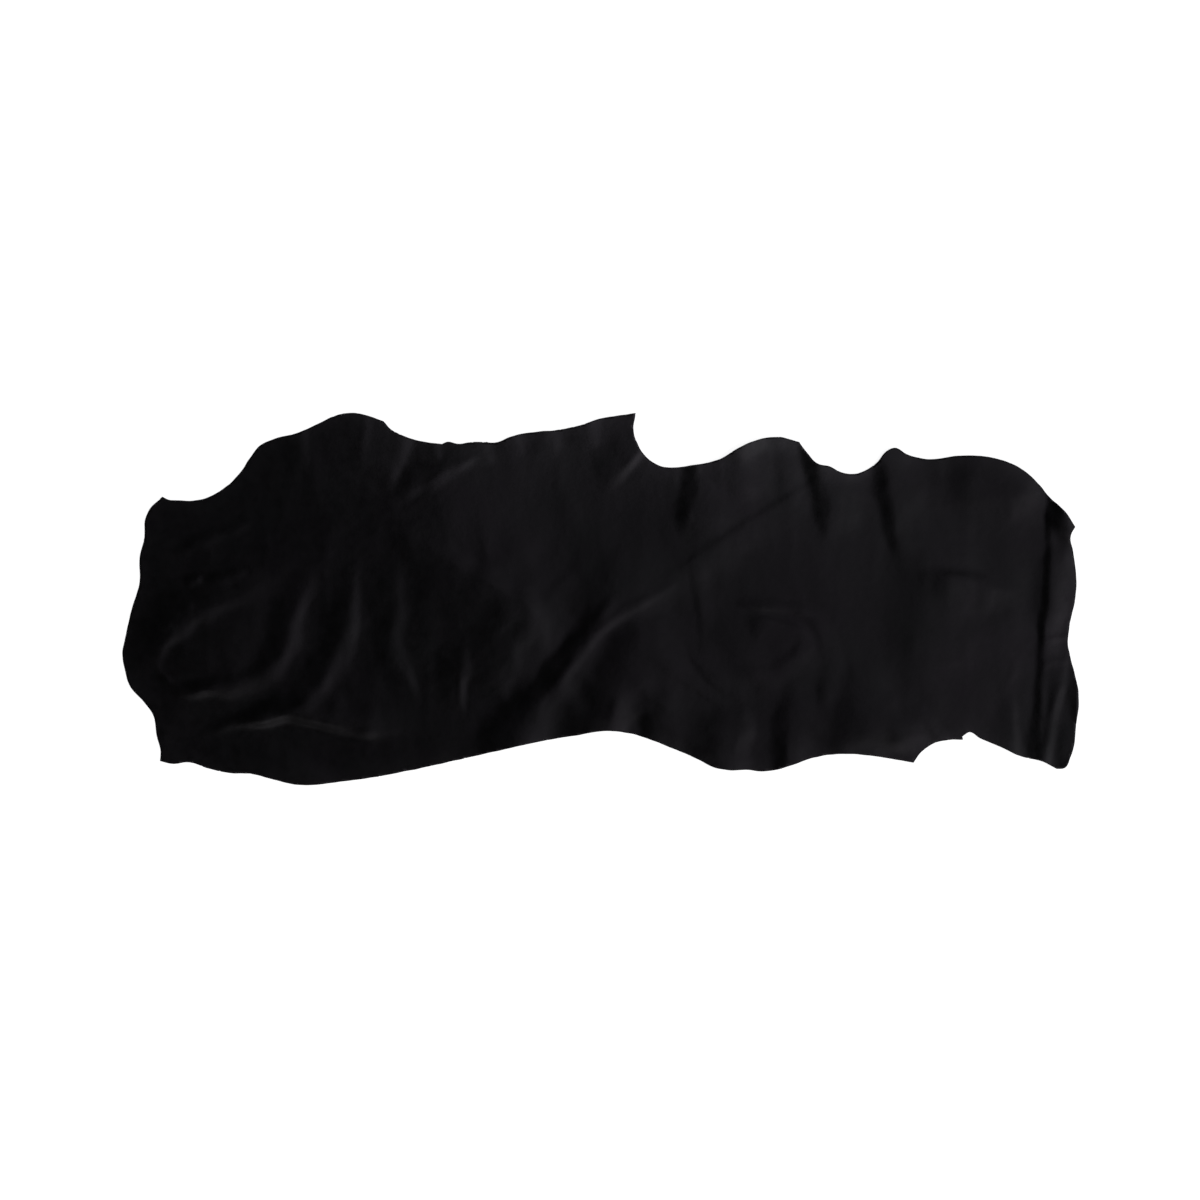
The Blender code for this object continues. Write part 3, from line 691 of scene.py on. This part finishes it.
def gloss_with_painted_sheen(tree):
    """The grain's gloss with painted light: brighter from the near side to the far side and at the
    rim.
    """
    painted_sheen = new_node(tree, "ShaderNodeAttribute", attribute_name="painted_sheen_share")
    gloss = grey_ramp(tree, PAINTED_SHEEN_STOPS)
    # Painted rim sheen: the gloss is raised near the outline.
    rim = new_node(tree, "ShaderNodeAttribute", attribute_name="rim")
    raised = new_node(tree, "ShaderNodeMapRange", to_min=1.0, to_max=PAINTED_RIM_SHEEN)
    whole = new_node(tree, "ShaderNodeMath", operation="MULTIPLY")
    joined(
        tree, (painted_sheen.outputs["Fac"], gloss.inputs["Fac"]),
        (rim.outputs["Fac"], raised.inputs["Value"]), (gloss.outputs["Color"], whole.inputs[0]),
        (raised.outputs["Result"], whole.inputs[1]))
    return whole.outputs["Value"]


def grain_leather(settings, mottle):
    """The dyed grain side: pebbled, softly glossy, a little uneven in tone and sheen."""
    material, tree, shader, coordinates = new_material("black grain leather")
    # Painted light: the gloss carries painted sheen, brighter towards the far side and at the rim.
    gloss = gloss_with_painted_sheen(tree)
    patches = placed_group(tree, mottle, coordinates, scale=TONE_PATCHES, low=0.0, high=1.0)
    tone = blend(tree, *shades(settings.grain_colour, GRAIN_TONES))
    cast = placed_group(tree, mottle, coordinates, scale=TINT_PATCHES, low=0.0, high=1.0)
    tint = blend(tree, *GRAIN_TINTS)
    sheen = placed_group(
        tree, mottle, coordinates, scale=SHEEN_PATCHES,
        low=settings.roughness - GRAIN_SHEEN,
        high=settings.roughness + GRAIN_SHEEN)
    pebbles = new_node(
        tree, "ShaderNodeTexVoronoi", feature="SMOOTH_F1", scale=1 / settings.grain_size,
        smoothness=PEBBLE_SOFTNESS)
    wrinkles = new_node(
        tree, "ShaderNodeTexNoise", scale=WRINKLE_PATCHES, detail=4.0, roughness=0.55)
    coarse = new_node(tree, "ShaderNodeBump", strength=0.6, distance=WRINKLE_DEPTH)
    fine = new_node(tree, "ShaderNodeBump", strength=0.35, distance=PEBBLE_DEPTH)
    joined(
        tree, (patches.outputs["Value"], tone.inputs["Factor"]),
        (tone.outputs["Result"], shader.inputs["Base Color"]),
        (gloss, shader.inputs["Specular IOR Level"]),
        (cast.outputs["Value"], tint.inputs["Factor"]),
        (tint.outputs["Result"], shader.inputs["Specular Tint"]),
        (sheen.outputs["Value"], shader.inputs["Roughness"]),
        (coordinates, pebbles.inputs["Vector"]), (coordinates, wrinkles.inputs["Vector"]),
        (wrinkles.outputs["Fac"], coarse.inputs["Height"]),
        (pebbles.outputs["Distance"], fine.inputs["Height"]),
        (coarse.outputs["Normal"], fine.inputs["Normal"]),
        (fine.outputs["Normal"], shader.inputs["Normal"]))
    return material


def fibrous_leather(name, colour, mottle, scale, depth):
    """A cut or suede face: matt, fibrous and uneven in tone."""
    material, tree, shader, coordinates = new_material(name)
    shader.inputs["Roughness"].default_value = FIBRE_ROUGHNESS
    shader.inputs["Specular IOR Level"].default_value = FIBRE_GLOSS
    shader.inputs["Sheen Weight"].default_value = FIBRE_SHEEN
    patches = placed_group(tree, mottle, coordinates, scale=scale, low=0.0, high=1.0)
    tone = blend(tree, *shades(colour, FIBRE_TONES))
    fibres = new_node(
        tree, "ShaderNodeTexNoise", scale=FIBRE_PATCHES, detail=4.0, roughness=0.7)
    nap = new_node(tree, "ShaderNodeBump", strength=0.7, distance=depth)
    joined(
        tree, (patches.outputs["Value"], tone.inputs["Factor"]),
        (tone.outputs["Result"], shader.inputs["Base Color"]),
        (coordinates, fibres.inputs["Vector"]), (fibres.outputs["Fac"], nap.inputs["Height"]),
        (nap.outputs["Normal"], shader.inputs["Normal"]))
    return material


def floor_paper(colour):
    """Plain matt studio paper."""
    material, _, shader, _ = new_material("studio paper")
    shader.inputs["Base Color"].default_value = (*colour, 1)
    shader.inputs["Roughness"].default_value = PAPER_ROUGHNESS
    shader.inputs["Specular IOR Level"].default_value = PAPER_GLOSS
    shader.inputs["Emission Color"].default_value = (*WHITE, 1)
    shader.inputs["Emission Strength"].default_value = FLOOR_GLOW
    return material


# ---------------------------------------------------------------------------------------------
# The sheet
# ---------------------------------------------------------------------------------------------

# A cell divided by these: how near a corner a cut may pass without making a new one, and how
# near each other two corners become one.
CUT_SLACK = 40
MERGE_REACH = 6


def cut_into_cells(shape, cell):
    """Cuts a flat shape along a square grid of lines."""
    corners = np.array([corner.co[:] for corner in shape.verts])
    for axis in (0, 1):
        place = corners[:, axis].min() + cell / 2
        while place < corners[:, axis].max():
            point = Vector((0, 0, 0))
            direction = Vector((0, 0, 0))
            point[axis] = place
            direction[axis] = 1
            everything = shape.verts[:] + shape.edges[:] + shape.faces[:]
            bmesh.ops.bisect_plane(
                shape, geom=everything, dist=cell / CUT_SLACK, plane_co=point, plane_no=direction)
            place += cell


def sheet_mesh(settings):
    """The grain side's surface: the outline cut into cells and lifted into its folds."""
    shape = bmesh.new()
    outline = outline_points(settings.cell)
    face = shape.faces.new([shape.verts.new((*point, 0)) for point in outline])
    face.normal_update()
    if face.normal.z < 0:
        face.normal_flip()
    cut_into_cells(shape, settings.cell)
    bmesh.ops.remove_doubles(shape, verts=shape.verts, dist=settings.cell / MERGE_REACH)
    plan = np.array([corner.co[:2] for corner in shape.verts])
    for corner, height in zip(shape.verts, lift(plan)):
        corner.co.z = height + settings.thickness
    for face in shape.faces:
        face.smooth = True
    mesh = bpy.data.meshes.new("leather_sheet")
    shape.to_mesh(mesh)
    shape.free()
    # Shares that place the painted sheen: near the rim and towards the far side.
    for name, values in (("rim", painted_rim_share(plan, outline)), ("painted_sheen_share", painted_sheen_share(plan))):
        mesh.attributes.new(name, "FLOAT", "POINT").data.foreach_set("value", values)
    return mesh


class HIDE_OT_lay_out(bpy.types.Operator):
    """Lay out the leather side with its folds"""
    bl_idname = "hide.lay_out"
    bl_label = "Lay Out the Hide"

    def execute(self, context):
        settings = context.scene.hide_settings
        mesh = sheet_mesh(settings)
        mottle = mottle_group()
        mesh.materials.append(grain_leather(settings, mottle))
        mesh.materials.append(fibrous_leather(
            "flesh side suede", settings.flesh_colour, mottle, FLESH_PATCHES, FLESH_DEPTH))
        mesh.materials.append(fibrous_leather(
            "cut edge", settings.edge_colour, mottle, EDGE_PATCHES, EDGE_DEPTH))
        sheet = bpy.data.objects.new("leather_sheet", mesh)
        context.collection.objects.link(sheet)
        wall = sheet.modifiers.new("thickness", "SOLIDIFY")
        wall.thickness = settings.thickness
        wall.offset = -1
        wall.material_offset = 1
        wall.material_offset_rim = 2
        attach(sheet, "root")
        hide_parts("hide")
        return {"FINISHED"}


# ---------------------------------------------------------------------------------------------
# The stage
# ---------------------------------------------------------------------------------------------

FLOOR_REACH = 60.0         # from its middle to its edge, in metres
CAMERA_LENS = 50.0
CAMERA_SENSOR = 36.0
CAMERA_REACH = 100.0
VIEW_CENTRE = (0.0, -0.0024)

# How far each light is turned from the right towards the near side, and how wide it looks.
KEY_TURN = math.radians(-4)
KEY_SOFTNESS = math.radians(86)
KEY_TINT = (0.93, 0.925, 1.0)
SIDE_TURN = math.radians(25)
SIDE_SOFTNESS = math.radians(50)
FRONT_TURN = math.radians(84)
FRONT_SOFTNESS = math.radians(42)
BACKDROP = 0.9             # how bright the room is where the camera sees it

# The room's own light. Each stop is (how steeply it comes down, 0 level and 1 straight down, how
# bright it is).
ROOM_GLOW = ((0.0, 0.25), (0.5, 0.018))


def studio_floor(settings):
    """A wide sheet of studio paper under the hide."""
    shape = bmesh.new()
    bmesh.ops.create_grid(shape, x_segments=1, y_segments=1, size=FLOOR_REACH)
    mesh = bpy.data.meshes.new("studio_floor")
    shape.to_mesh(mesh)
    shape.free()
    mesh.materials.append(floor_paper(settings.floor_colour))
    floor = bpy.data.objects.new("studio_floor", mesh)
    bpy.context.collection.objects.link(floor)


def soft_light(name, strength, height, turn, softness, tint=WHITE):
    """A soft light at a height over the floor, turned from the right towards the near side."""
    lamp = bpy.data.lights.new(name, "SUN")
    lamp.energy = strength
    lamp.color = tint
    lamp.angle = softness
    light = bpy.data.objects.new(name, lamp)
    bpy.context.collection.objects.link(light)
    reach = math.cos(height)
    source = Vector((reach * math.cos(turn), -reach * math.sin(turn), math.sin(height)))
    light.rotation_euler = source.to_track_quat("Z", "Y").to_euler()


def studio_world():
    """A room that is pale around the horizon and dark overhead."""
    world = bpy.data.worlds.new("studio")
    bpy.context.scene.world = world
    world.use_nodes = True
    tree = world.node_tree
    sky = tree.nodes["Background"]
    place = tree.nodes.new("ShaderNodeTexCoord").outputs["Generated"]
    parts = tree.nodes.new("ShaderNodeSeparateXYZ")
    shade = grey_ramp(tree, ROOM_GLOW)
    ray = tree.nodes.new("ShaderNodeLightPath")
    seen = new_node(tree, "ShaderNodeMix", data_type="RGBA")
    seen.inputs["B"].default_value = (BACKDROP, BACKDROP, BACKDROP, 1)
    joined(
        tree, (place, parts.inputs["Vector"]), (parts.outputs["Z"], shade.inputs["Fac"]),
        (shade.outputs["Color"], seen.inputs["A"]),
        (ray.outputs["Is Camera Ray"], seen.inputs["Factor"]),
        (seen.outputs["Result"], sky.inputs["Color"]))


def overhead_camera(settings):
    """A camera that looks straight down on the hide."""
    camera = bpy.data.cameras.new("camera")
    camera.lens = CAMERA_LENS
    camera.sensor_width = CAMERA_SENSOR
    camera.clip_end = CAMERA_REACH
    eye = bpy.data.objects.new("camera", camera)
    bpy.context.collection.objects.link(eye)
    eye.location = (*VIEW_CENTRE, settings.camera_height)
    bpy.context.scene.camera = eye


class HIDE_OT_set_stage(bpy.types.Operator):
    """Set the floor, the lights and the camera over the hide"""
    bl_idname = "hide.set_stage"
    bl_label = "Set the Stage"

    def execute(self, context):
        settings = context.scene.stage_settings
        studio_floor(settings)
        soft_light(
            "key", settings.key_strength, settings.key_height, KEY_TURN, KEY_SOFTNESS, KEY_TINT)
        soft_light(
            "side", settings.side_strength, settings.side_height, SIDE_TURN, SIDE_SOFTNESS)
        soft_light(
            "front", settings.front_strength, settings.front_height, FRONT_TURN, FRONT_SOFTNESS)
        studio_world()
        overhead_camera(settings)
        context.scene.view_settings.view_transform = "Standard"
        return {"FINISHED"}


class HIDE_PT_panel(bpy.types.Panel):
    """The hide and its stage"""
    bl_idname = "HIDE_PT_panel"
    bl_label = "Leather Side"
    bl_space_type = "VIEW_3D"
    bl_region_type = "UI"
    bl_category = "Hide"

    def draw(self, context):
        for operator, settings in (
                ("hide.lay_out", context.scene.hide_settings),
                ("hide.set_stage", context.scene.stage_settings)):
            column = self.layout.column()
            for name in settings.__annotations__:
                column.prop(settings, name)
            column.operator(operator)


CLASSES = (HideSettings, StageSettings, HIDE_OT_lay_out, HIDE_OT_set_stage, HIDE_PT_panel)


def register():
    for kind in CLASSES:
        bpy.utils.register_class(kind)
    bpy.types.Scene.hide_settings = PointerProperty(type=HideSettings)
    bpy.types.Scene.stage_settings = PointerProperty(type=StageSettings)


def unregister():
    del bpy.types.Scene.stage_settings
    del bpy.types.Scene.hide_settings
    for kind in reversed(CLASSES):
        bpy.utils.unregister_class(kind)


def main():
    register()
    bpy.ops.hide.set_stage()
    bpy.ops.hide.lay_out()


if __name__ == "__main__":
    main()
